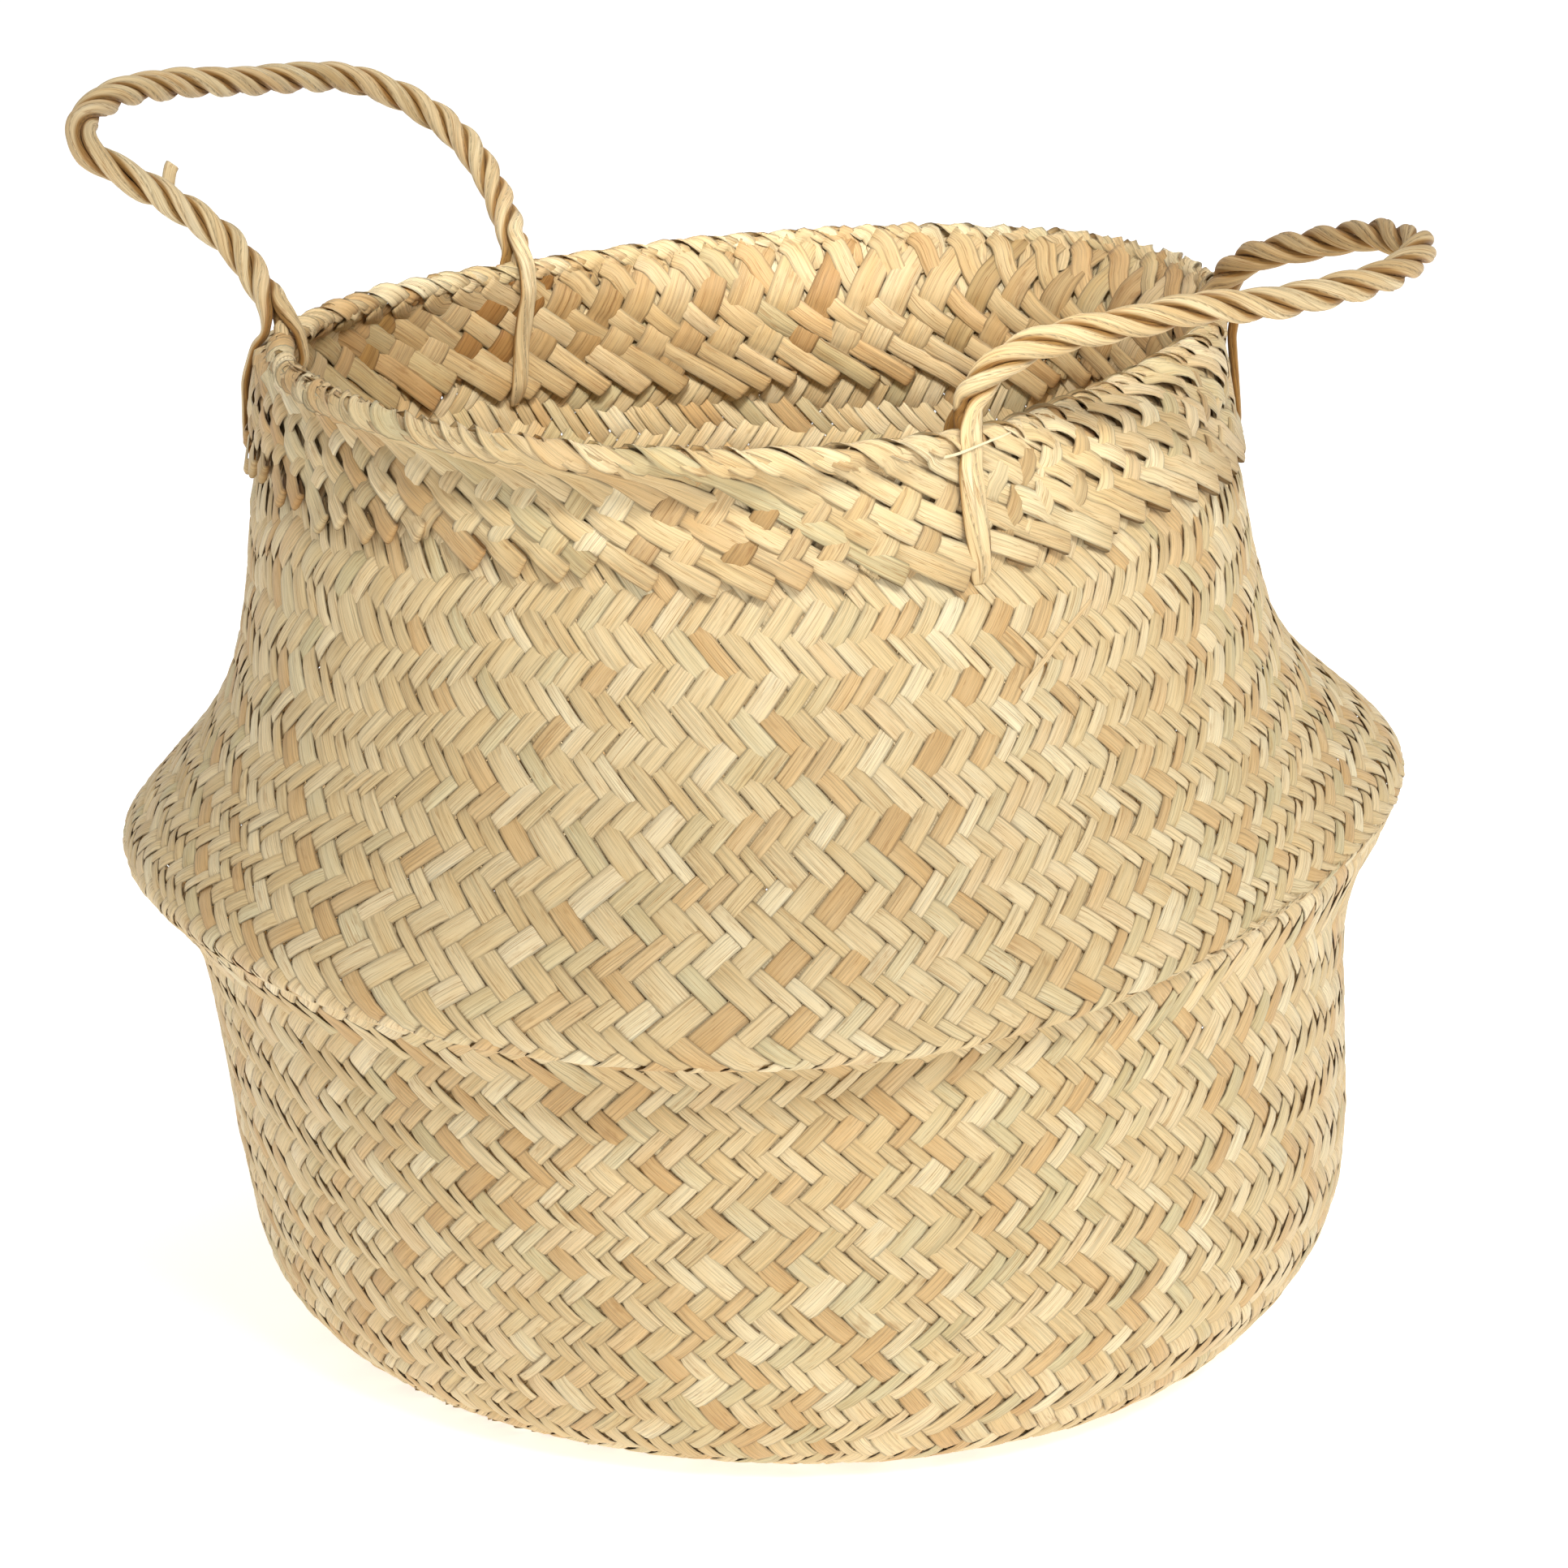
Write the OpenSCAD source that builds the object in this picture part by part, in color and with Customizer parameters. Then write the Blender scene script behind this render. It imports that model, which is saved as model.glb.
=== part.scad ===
// Seagrass belly basket: a plaited drum, a belly that folds, a plaited neck with a
// turned-down rim band, and two rope handles of three plies each.
// Origin: centre of the flat bottom, on the floor. +Z is up, the front faces -Y.

/* [Bottom] */
// Radius of the flat bottom
base_r = 113; // [108:1:118]
// Thickness of the bottom mat
mat_t = 2.6; // [2:0.1:3]

/* [Lower wall] */
// Radius of the lower wall, outside
drum_r = 148; // [144:1:150]
// Height of the crease under the belly
crease_z = 108; // [104:1:112]
// Thickness of the plaited wall
wall_t = 2; // [1.6:0.1:2.4]

/* [Belly] */
// Radius of the belly's ridge
belly_r = 167; // [163:1:171]
// Height of the belly's ridge
belly_z = 134; // [131:1:138]

/* [Neck and rim] */
// Radius of the neck, outside
neck_r = 123; // [119:1:127]
// Height of the wall's top edge
rim_z = 261; // [258:1:266]
// Thickness of each layer of the turned-down rim band
band_t = 1.5; // [1:0.1:1.8]
// Thickness of the rolled edge above the wall
roll_t = 2.5; // [2:0.5:3]

/* [Handles] */
// Radius of one ply of the rope
ply_r = 1.7; // [1.5:0.05:1.75]
// Distance of each ply's centre from the rope's own centre
ply_lay_r = 2.4; // [2.35:0.05:2.5]
// Length of one full turn of the rope
rope_pitch = 35; // [28:1:36]
// Height of each handle's bending line above the wall's top edge
axis_lift = 7; // [7:0.5:9]
// Radius of the plies that are tucked in below the rim band
leg_r = 1.6; // [1.4:0.1:1.7]

/* [Hidden] */

straw = "#dcc592";
shade = "#c9ae78";
rope_straw = "#d6bb84";

// The wall's outside, ring by ring from the floor to the rim. Each ring holds its
// radius and height, its shift to the right and to the back, how far it rises to the
// right and to the back, then its out-of-round terms: oval, skew, three-lobed, and
// the two terms that lift its height twice round.
RINGS = [
  [base_r,      0,             0,  0,  0,  0,  0,  0,   0,  0, 0],
  [drum_r - 14, 12,            2,  0, -1,  0,  0, -2,   1,  2, 1],
  [drum_r,      46,            6,  0, -1,  0, -2, -2, 0.5, -1, 0],
  [drum_r + 2,  crease_z,      2, -2,  4,  0,  0,  2,   0,  0, 0],
  [belly_r - 9, belly_z - 10,  2, -2,  8, -2,  3,  5,   3,  5, 1],
  [belly_r,     belly_z,      -2, -2,  6, -2, -1,  7,   6,  8, 4],
  [neck_r + 14, rim_z - 79,   -3, -2,  5, -2, -2,  3,  -1,  2, 1],
  [neck_r,      rim_z - 15,   -7, -3,  0,  0,  2,  2,   5,  3, 1],
  [neck_r + 1,  rim_z,        -7, -3,  2,  3, -4, 10,   8,  0, 2]
];
rise_r = 150;         // radius at which the rise terms hold
segments = 48;        // corners of each ring
step = 360 / segments;

// Places along the wall, in rings from the floor
edge_top = 1;
web_start = 2.8;
web_end = 4.84;
ridge_start = 4.9;
band_start = 6.72;
rim = 8;

// Where each handle enters the rim, as angles round the basket
LEFT_ENDS = [176, 122];
RIGHT_ENDS = [297, 10];

// The loops' centrelines, from the front end to the rear end, as distances along the
// line between the ends, outward from it and above it
LEFT_LOOP = [
  [-48, 11, 8], [-46, 22, 17], [-51, 36, 27], [-59, 46, 35], [-61, 55, 41],
  [-54, 62, 46], [-35, 66, 50], [-11, 66, 49], [18, 62, 46], [48, 57, 43],
  [62, 50, 38], [71, 40, 30], [72, 29, 22], [66, 16, 12], [58, 6, 4]
];
RIGHT_LOOP = [
  [-71, 3, 6], [-65, 9, 13], [-56, 18, 17], [-45, 30, 19], [-31, 43, 21],
  [-17, 54, 20], [2, 66, 21], [17, 72, 22], [37, 71, 24], [48, 61, 23],
  [55, 50, 22], [62, 30, 16], [66, 12, 10]
];
rope_sides = 8;       // corners round one ply
turns_step = 5;       // rings of a ply between two points of its loop
roll_sides = 8;       // corners round the rolled edge
core = -band_t - wall_t / 2;   // depth of the wall's middle below the rim band's outside
leg_out = 5.4;        // how far the top of each outside leg stands out from the rope's end
leg_in = 6.3;         // how far the top of each inside leg stands in from it
leg_drop = 5.6;       // and how far below it, clear of the rope as the handle swings
leg_gap = 0.5;        // clearance between an outside leg and its band
inner_leg_gap = 0.9;  // and between an inside leg and its band
layer_gap = 0.08;     // clearance between the wall and each layer of the band

// ---- curves ----

function unit(v) = v / norm(v);

// Smooth curve through a list of vectors; t counts from 0 at the first
function along(list, t) =
  let (
    last = len(list) - 1,
    k = min(floor(max(t, 0)), last - 1),
    f = t - k,
    p1 = list[k],
    p2 = list[k + 1],
    p0 = k > 0 ? list[k - 1] : 2 * p1 - p2,
    p3 = k + 2 <= last ? list[k + 2] : 2 * p2 - p1
  )
  (2 * p1 + (p2 - p0) * f + (2 * p0 - 5 * p1 + 4 * p2 - p3) * f * f
    + (3 * p1 - p0 - 3 * p2 + p3) * f * f * f) / 2;

function ramp(t, from, to) = min(max((t - from) / (to - from), 0), 1);

// Point of one ring at angle a: [distance from the ring's own centre, height]
function ring_rz(g, a) = [
  g[0] + g[6] * cos(2 * a) + g[7] * sin(2 * a) + g[8] * sin(3 * a),
  g[1] + (g[4] * cos(a) + g[5] * sin(a)) * g[0] / rise_r + g[9] * cos(2 * a) + g[10] * sin(2 * a)
];

// Point at place v and angle a, a depth d outward from the wall's outside
function wall_point(v, a, d = 0) =
  let (
    g = along(RINGS, v),
    slope = unit(ring_rz(along(RINGS, v + 0.02), a) - ring_rz(along(RINGS, v - 0.02), a)),
    rz = ring_rz(g, a) + d * [slope[1], -slope[0]]
  )
  [g[2] + rz[0] * cos(a), g[3] + rz[0] * sin(a), rz[1]];

// ---- solids from rings of points ----

// Triangles between ring k and ring m of n points each. Downward rings split their
// squares the other way, so that two faces through the same places lie alike.
function strip(k, m, n, downward = false) = [
  for (i = [0 : n - 1])
    let (j = (i + 1) % n)
    each downward
      ? [[k * n + i, m * n + i, k * n + j], [m * n + i, m * n + j, k * n + j]]
      : [[k * n + i, m * n + i, m * n + j], [k * n + i, m * n + j, k * n + j]]
];

// A solid through rings that close on themselves, such as a wall with two faces: the
// first half of the rings runs up its outside and the second half down its inside
module ring_solid(rings) {
  n = len(rings[0]);
  count = len(rings);
  polyhedron(
    points = [for (r = rings) each r],
    faces = [for (k = [0 : count - 1]) each strip(k, (k + 1) % count, n, k >= count / 2)]
  );
}

// A solid through rings with a flat cap at each end, such as a ply of rope
module capped_solid(rings) {
  n = len(rings[0]);
  last = len(rings) - 1;
  polyhedron(
    points = [for (r = rings) each r],
    faces = concat(
      [[for (i = [0 : n - 1]) i]],
      [for (k = [0 : last - 1]) each strip(k, k + 1, n)],
      [[for (i = [n - 1 : -1 : 0]) last * n + i]]
    )
  );
}

// ---- plaited walls ----

function wall_ring(v, d) = [for (i = [0 : segments - 1]) wall_point(v, i * step, d)];

// Places evenly spread from v0 to v1
function spread(v0, v1, rows) = [for (k = [0 : rows]) v0 + (v1 - v0) * k / rows];

BAND_ROWS = spread(band_start, rim, 4);

// The wall gives way to the outer rim band above this place
function face_depth(v) = -band_t * ramp(v, band_start - 0.16, band_start - 0.03);

// A wall through a list of places, between two depths below its outside
module wall(places, outside, inside) {
  last = len(places) - 1;
  ring_solid(concat(
    [for (v = places) wall_ring(v, face_depth(v) - outside)],
    [for (k = [last : -1 : 0]) wall_ring(places[k], face_depth(places[k]) - inside)]
  ));
}

// A band along the rim, between two depths below the basket's outside
module band(outside, inside) {
  last = len(BAND_ROWS) - 1;
  ring_solid(concat(
    [for (v = BAND_ROWS) wall_ring(v, -outside)],
    [for (k = [last : -1 : 0]) wall_ring(BAND_ROWS[k], -inside)]
  ));
}

module base_mat() {
  color(shade)
    cylinder(r = base_r - 1.7, h = mat_t, $fn = 96);
}

module base_edge() {
  color(straw)
    wall(spread(0, edge_top, 5), 0, mat_t);
}

module lower_wall() {
  color(straw)
    wall(spread(edge_top, web_start, 6), 0, wall_t);
}

module belly_fold() {
  color(shade)
    wall(spread(web_start, web_end, 6), 0, wall_t);
}

module upper_wall() {
  color(straw)
    wall(concat(spread(ridge_start, band_start - 0.16, 7), [band_start - 0.03], BAND_ROWS), 0, wall_t);
}

module rim_band_outer() {
  color(straw)
    band(0, band_t - layer_gap);
}

module rim_band_inner() {
  color(shade)
    band(band_t + wall_t + layer_gap, 2 * band_t + wall_t);
}

// The rolled edge, a flat ring that caps the wall and both bands
module rim_roll() {
  roll_w = wall_t / 2 + band_t + 0.3;
  roll_lift = 0.25;
  color(straw)
    ring_solid([
      for (j = [0 : roll_sides - 1]) [
        for (i = [0 : segments - 1])
          wall_point(rim, i * step, core + roll_w * cos(j * 360 / roll_sides))
            + [0, 0, roll_lift + roll_t / 2 * (1 + sin(j * 360 / roll_sides))]
      ]
    ]);
}

// ---- rope ----

// Middle of the handle's end at angle a, on its bending line
function rope_end(a) = wall_point(rim, a, core) + [0, 0, axis_lift];

// Axes of a handle: its middle, along its bending line, outward and upward
function handle_axes(ends) =
  let (
    front = rope_end(ends[0]),
    rear = rope_end(ends[1]),
    middle = (front + rear) / 2,
    c = unit(rear - front),
    level = unit([c[1], -c[0], 0]),
    out = level * middle > 0 ? level : -level,
    lift = cross(out, c)
  )
  [middle, c, out, lift[2] > 0 ? lift : -lift, norm(rear - front) / 2];

// The centreline of a handle in the basket's own axes
function rope_line(ends, loop) =
  let (
    h = handle_axes(ends),
    route = concat([[-h[4], 0, 0]], loop, [[h[4], 0, 0]]),
    count = (len(route) - 1) * turns_step
  )
  [
    for (k = [0 : count])
      let (q = along(route, k / turns_step))
      h[0] + q[0] * h[1] + q[1] * h[2] + q[2] * h[3]
  ];

// Length of the line up to each of its points
function lengths(line) = [
  for (k = 0, s = 0; k < len(line); s = s + (k + 1 < len(line) ? norm(line[k + 1] - line[k]) : 0), k = k + 1) s
];

function heading(line, k) = unit(line[min(k + 1, len(line) - 1)] - line[max(k - 1, 0)]);

// One ply of a handle, wound round the centreline from its own starting angle
module rope_ply(ends, loop, start) {
  line = rope_line(ends, loop);
  run = lengths(line);
  up = handle_axes(ends)[3];
  centres = [
    for (k = [0 : len(line) - 1])
      let (t = heading(line, k), side = unit(cross(t, up)), turn = start - 360 * run[k] / rope_pitch)
      line[k] + ply_lay_r * (cos(turn) * side + sin(turn) * cross(side, t))
  ];
  rings = [
    for (k = [0 : len(line) - 1])
      let (t = heading(line, k), side = unit(cross(t, up)), top = cross(side, t))
      [
        for (j = [0 : rope_sides - 1])
          centres[k] + ply_r * (cos(j * 360 / rope_sides) * side + sin(j * 360 / rope_sides) * top)
      ]
  ];
  color(rope_straw)
    capped_solid(rings);
}

// A tucked ply: a round strand through a few points, in rings that face along it
module strand(route, r, ends_r = undef) {
  count = (len(route) - 1) * 3;
  line = [for (k = [0 : count]) along(route, k / 3)];
  tip = is_undef(ends_r) ? r : ends_r;
  rings = [
    for (k = [0 : count])
      let (
        t = heading(line, k),
        side = unit(cross(t, abs(t[2]) > 0.9 ? [1, 0, 0] : [0, 0, 1])),
        top = cross(side, t),
        size = r + (tip - r) * ramp(k, count - 3, count)
      )
      [
        for (j = [0 : rope_sides - 1])
          line[k] + size * (cos(j * 360 / rope_sides) * side + sin(j * 360 / rope_sides) * top)
      ]
  ];
  color(rope_straw)
    capped_solid(rings);
}

// The outside leg runs from the rope's end down the outer band to a hole below it
module outer_leg(a) {
  away = [cos(a), sin(a), 0];
  gap = leg_r + leg_gap;
  strand([
    rope_end(a) + leg_out * away - [0, 0, leg_drop],
    wall_point(7.7, a, gap),
    wall_point(7.2, a, gap),
    wall_point(band_start, a, gap),
    wall_point(band_start - 0.1, a, gap - 0.2)
  ], leg_r, leg_r * 0.7);
}

// The inside leg does the same on the inner band
module inner_leg(a) {
  away = [cos(a), sin(a), 0];
  depth = 2 * band_t + wall_t + leg_r + inner_leg_gap;
  strand([
    rope_end(a) - leg_in * away - [0, 0, leg_drop],
    rope_end(a) - (leg_in - 0.6) * away - [0, 0, 2 * leg_drop],
    wall_point(7, a, -depth),
    wall_point(band_start, a, -depth),
    wall_point(band_start - 0.1, a, 0.2 - depth)
  ], leg_r, leg_r * 0.7);
}

// The loose end of a strip that stands out of the left rope, inside the loop
module left_handle_stub() {
  h = handle_axes(LEFT_ENDS);
  root = [-48.4, 39.4, 32.2];
  tip = [-42.6, 41, 36.4];
  strand([
    for (q = [root, (root + tip) / 2 + [0, 0, 1], tip])
      h[0] + q[0] * h[1] + q[1] * h[2] + q[2] * h[3]
  ], 1.6, 1.1);
}

// The end of a strip that has sprung off the neck at the right front
module loose_sliver() {
  strand([
    wall_point(6.27, 300, 1.2),
    wall_point(6.4, 304, 3),
    wall_point(6.5, 309, 4.5)
  ], 0.8, 0.4);
}

base_mat();
base_edge();
lower_wall();
belly_fold();
upper_wall();
rim_band_outer();
rim_band_inner();
rim_roll();
outer_leg(LEFT_ENDS[0]);  // left_front_leg_outer
inner_leg(LEFT_ENDS[0]);  // left_front_leg_inner
outer_leg(LEFT_ENDS[1]);  // left_rear_leg_outer
inner_leg(LEFT_ENDS[1]);  // left_rear_leg_inner
outer_leg(RIGHT_ENDS[0]);  // right_front_leg_outer
inner_leg(RIGHT_ENDS[0]);  // right_front_leg_inner
outer_leg(RIGHT_ENDS[1]);  // right_rear_leg_outer
inner_leg(RIGHT_ENDS[1]);  // right_rear_leg_inner
rope_ply(LEFT_ENDS, LEFT_LOOP, 0);  // left_handle_ply_a
rope_ply(LEFT_ENDS, LEFT_LOOP, 120);  // left_handle_ply_b
rope_ply(LEFT_ENDS, LEFT_LOOP, 240);  // left_handle_ply_c
left_handle_stub();
rope_ply(RIGHT_ENDS, RIGHT_LOOP, 0);  // right_handle_ply_a
rope_ply(RIGHT_ENDS, RIGHT_LOOP, 120);  // right_handle_ply_b
rope_ply(RIGHT_ENDS, RIGHT_LOOP, 240);  // right_handle_ply_c
loose_sliver();
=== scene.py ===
# %% [markdown]
# # A seagrass belly basket
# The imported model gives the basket's frame: where the wall, the rim and the two handles
# are, and how they move. Its walls are plain closed shells. This lesson replaces them by
# what a basket maker handles: flat straw strips that go over and under each other, a rim
# of folded strips, and ropes of three twisted plies. Everything is in metres in Blender.
# The wall's shape is worked out in millimetres and scaled at the end.

# %% Load the frame
import math

import bpy
import numpy as np
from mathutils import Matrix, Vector


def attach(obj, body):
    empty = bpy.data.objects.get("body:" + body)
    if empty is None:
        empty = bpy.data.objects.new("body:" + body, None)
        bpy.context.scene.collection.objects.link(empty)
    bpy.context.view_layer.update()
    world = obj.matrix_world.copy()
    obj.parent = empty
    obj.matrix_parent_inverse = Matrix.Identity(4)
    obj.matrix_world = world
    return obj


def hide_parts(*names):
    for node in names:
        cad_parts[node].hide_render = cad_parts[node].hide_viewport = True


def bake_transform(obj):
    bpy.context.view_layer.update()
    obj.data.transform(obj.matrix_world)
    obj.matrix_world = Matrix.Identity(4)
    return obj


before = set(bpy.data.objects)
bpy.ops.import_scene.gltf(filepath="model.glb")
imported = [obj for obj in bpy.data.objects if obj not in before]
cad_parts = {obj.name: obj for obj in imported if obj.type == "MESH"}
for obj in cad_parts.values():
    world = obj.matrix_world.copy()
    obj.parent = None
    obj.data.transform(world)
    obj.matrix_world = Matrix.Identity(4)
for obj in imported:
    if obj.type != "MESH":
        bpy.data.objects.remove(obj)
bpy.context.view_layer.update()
MM = 0.001
TURN = 2 * math.pi
rng = np.random.default_rng(41)

# %% [markdown]
# ## Camera, floor and light
# A basket of pale straw needs soft light from all sides, or the gaps in the plait turn
# black. A bright plain surround gives that. One large lamp at the front right makes the
# belly's top face the brightest, and the web below it falls into shade by itself. A
# narrow lamp over the front rim reaches the far inner wall, which would be dark otherwise.
# The camera stands 1.38 m in front of the basket, a little above it, with a long lens.

# %% Camera, floor and light
CAMERA_PLACE = (0, -1.3782, 0.5412)
CAMERA_DOWN, CAMERA_TURN = 16.141, -0.172     # degrees below level and to the right
LENS, SENSOR = 125.65, 36
FLOOR_HALF = 14.0
FLOOR_GREY, FLOOR_GLOW = 0.93, 0.6
SURROUND_GLOW = 0.47


def add_camera():
    lens = bpy.data.cameras.new("camera")
    lens.lens = LENS
    lens.sensor_width = SENSOR
    camera = bpy.data.objects.new("camera", lens)
    camera.location = CAMERA_PLACE
    camera.rotation_euler = (math.radians(90 - CAMERA_DOWN), 0, math.radians(CAMERA_TURN))
    bpy.context.scene.collection.objects.link(camera)
    bpy.context.scene.camera = camera


def add_lamp(name, place, size, watts, target=(0, 0, 0.12), spread=180):
    light = bpy.data.lights.new(name, "AREA")
    light.shape = "DISK"
    light.size = size
    light.energy = watts
    light.spread = math.radians(spread)
    lamp = bpy.data.objects.new(name, light)
    lamp.location = place
    lamp.rotation_euler = (Vector(target) - Vector(place)).to_track_quat("-Z", "Y").to_euler()
    bpy.context.scene.collection.objects.link(lamp)


def add_floor():
    half = FLOOR_HALF
    mesh = bpy.data.meshes.new("floor")
    corners = [(-half, -half, 0), (half, -half, 0), (half, half, 0), (-half, half, 0)]
    mesh.from_pydata(corners, [], [(0, 1, 2, 3)])
    floor = bpy.data.objects.new("floor", mesh)
    bpy.context.scene.collection.objects.link(floor)
    pale = bpy.data.materials.new("floor_white")
    pale.use_nodes = True
    shader = pale.node_tree.nodes["Principled BSDF"]
    shader.inputs["Base Color"].default_value = (FLOOR_GREY, FLOOR_GREY, FLOOR_GREY, 1)
    shader.inputs["Roughness"].default_value = 0.9
    shader.inputs["Emission Color"].default_value = (1, 1, 1, 1)
    shader.inputs["Emission Strength"].default_value = FLOOR_GLOW
    mesh.materials.append(pale)


add_camera()
add_floor()
add_lamp("key_lamp", (0.7, -1.6, 1.55), 0.6, 23)
add_lamp("top_lamp", (0.3, 0.4, 1.9), 1.4, 6)
add_lamp("mouth_lamp", (0, -0.45, 0.62), 0.1, 0.15, target=(0, 0.12, 0.18), spread=26)
surround = bpy.data.worlds.new("surround")
surround.use_nodes = True
surround.node_tree.nodes["Background"].inputs["Color"].default_value = (1, 1, 1, 1)
surround.node_tree.nodes["Background"].inputs["Strength"].default_value = SURROUND_GLOW
bpy.context.scene.world = surround
bpy.context.scene.view_settings.view_transform = "Standard"

# %% [markdown]
# ## The wall's shape
# The wall isn't quite round: it leans, it is pushed in where the handles pull, and its
# ridge dips at the front. Each ring below holds a radius, a height, a shift to the right
# and to the back, how far it rises to the right and to the back, and its out-of-round
# terms. A smooth curve through the rings gives a point at any place v and angle a. Rings
# are counted from 0 at the floor to 8 at the rim, as in the CAD model.

# %% The wall's shape
BASE_R, DRUM_R, CREASE_Z = 113, 148, 108
BELLY_R, BELLY_Z, NECK_R, RIM_Z = 167, 134, 123, 261
RINGS = np.array([
    [BASE_R,      0,             0,  0,  0,  0,  0,  0,   0,  0, 0],
    [DRUM_R - 14, 12,            2,  0, -1,  0,  0, -2,   1,  2, 1],
    [DRUM_R,      46,            6,  0, -1,  0, -2, -2, 0.5, -1, 0],
    [DRUM_R + 2,  CREASE_Z,      2, -2,  4,  0,  0,  2,   0,  0, 0],
    [BELLY_R - 9, BELLY_Z - 10,  2, -2,  8, -2,  3,  5,   3,  5, 1],
    [BELLY_R,     BELLY_Z,      -2, -2,  6, -2, -1,  7,   6,  8, 4],
    [NECK_R + 14, RIM_Z - 79,   -3, -2,  5, -2, -2,  3,  -1,  2, 1],
    [NECK_R,      RIM_Z - 15,   -7, -3,  0,  0,  2,  2,   5,  3, 1],
    [NECK_R + 1,  RIM_Z,        -7, -3,  2,  3, -4, 10,   8,  0, 2],
], float)
RISE_R = 150
RIM = len(RINGS) - 1
BAND_T, WALL_T = 1.5, 2.0
CORE = -BAND_T - WALL_T / 2


def along(points, t):
    """Smooth curve through a list of points; t counts from 0 at the first."""
    last = len(points) - 1
    k = np.clip(np.floor(t).astype(int), 0, last - 1)
    f = (t - k)[:, None]
    ends = np.vstack([2 * points[0] - points[1], points, 2 * points[-1] - points[-2]])
    p0, p1, p2, p3 = ends[k], ends[k + 1], ends[k + 2], ends[k + 3]
    return (2 * p1 + (p2 - p0) * f + (2 * p0 - 5 * p1 + 4 * p2 - p3) * f ** 2
            + (3 * p1 - p0 - 3 * p2 + p3) * f ** 3) / 2


def ring_rz(g, a):
    r = g[:, 0] + g[:, 6] * np.cos(2 * a) + g[:, 7] * np.sin(2 * a) + g[:, 8] * np.sin(3 * a)
    lean = (g[:, 4] * np.cos(a) + g[:, 5] * np.sin(a)) * g[:, 0] / RISE_R
    z = g[:, 1] + lean + g[:, 9] * np.cos(2 * a) + g[:, 10] * np.sin(2 * a)
    return np.stack([r, z], 1)


def wall_point(v, a, depth=0.0):
    """Points in millimetres at places v and angles a, depth mm outward from the outside."""
    v, a, depth = np.broadcast_arrays(*[np.atleast_1d(np.asarray(x, float)) for x in (v, a, depth)])
    g = along(RINGS, v)
    slope = ring_rz(along(RINGS, v + 0.02), a) - ring_rz(along(RINGS, v - 0.02), a)
    slope /= np.linalg.norm(slope, axis=1)[:, None]
    q = ring_rz(g, a) + depth[:, None] * np.stack([slope[:, 1], -slope[:, 0]], 1)
    return np.stack([g[:, 2] + q[:, 0] * np.cos(a), g[:, 3] + q[:, 0] * np.sin(a), q[:, 1]], 1)


def unit(rows):
    rows = np.asarray(rows, float)
    return rows / np.maximum(np.linalg.norm(rows, axis=-1, keepdims=True), 1e-12)


def wall_normal(v, a):
    """Outward direction of the wall's surface."""
    v, a = np.broadcast_arrays(*[np.atleast_1d(np.asarray(x, float)) for x in (v, a)])
    round_it = wall_point(v, a + 0.01) - wall_point(v, a - 0.01)
    up_it = wall_point(v + 0.02, a) - wall_point(v - 0.02, a)
    return unit(np.cross(round_it, up_it))


ring_angles = np.linspace(0, TURN, 180, endpoint=False)
ridge = wall_point(5.0, ring_angles)

# %% [markdown]
# ## One straw strip
# A strip is a thin flat tube with six corners: two sharp edges, a slightly crowned face
# and a flat back. Every strip of the basket is made by the one function below, from its
# centreline, the direction across it and the direction out of its face. It also keeps
# where each point is on its strip: millimetres across, millimetres along, and a number
# that is the strip's own. The straw finish reads those three, so that the grain follows
# the strip round every bend. Two more say how near the strip's edge a point is and how
# much darker the straw is coloured there. From the first the finish paints shade along the
# borders; the second holds painted shade on the band's inner face and in the ropes' grooves,
# and a darker colour in other places.

# %% One straw strip
ACROSS = np.array([-1, -0.62, 0.62, 1, 0.7, -0.7])
OUTWARD = np.array([-0.35, 1, 1, -0.35, -1, -1])


def tangents(points):
    ahead = np.vstack([points[1:], points[-1:]])
    behind = np.vstack([points[:1], points[:-1]])
    return unit(ahead - behind)


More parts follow.
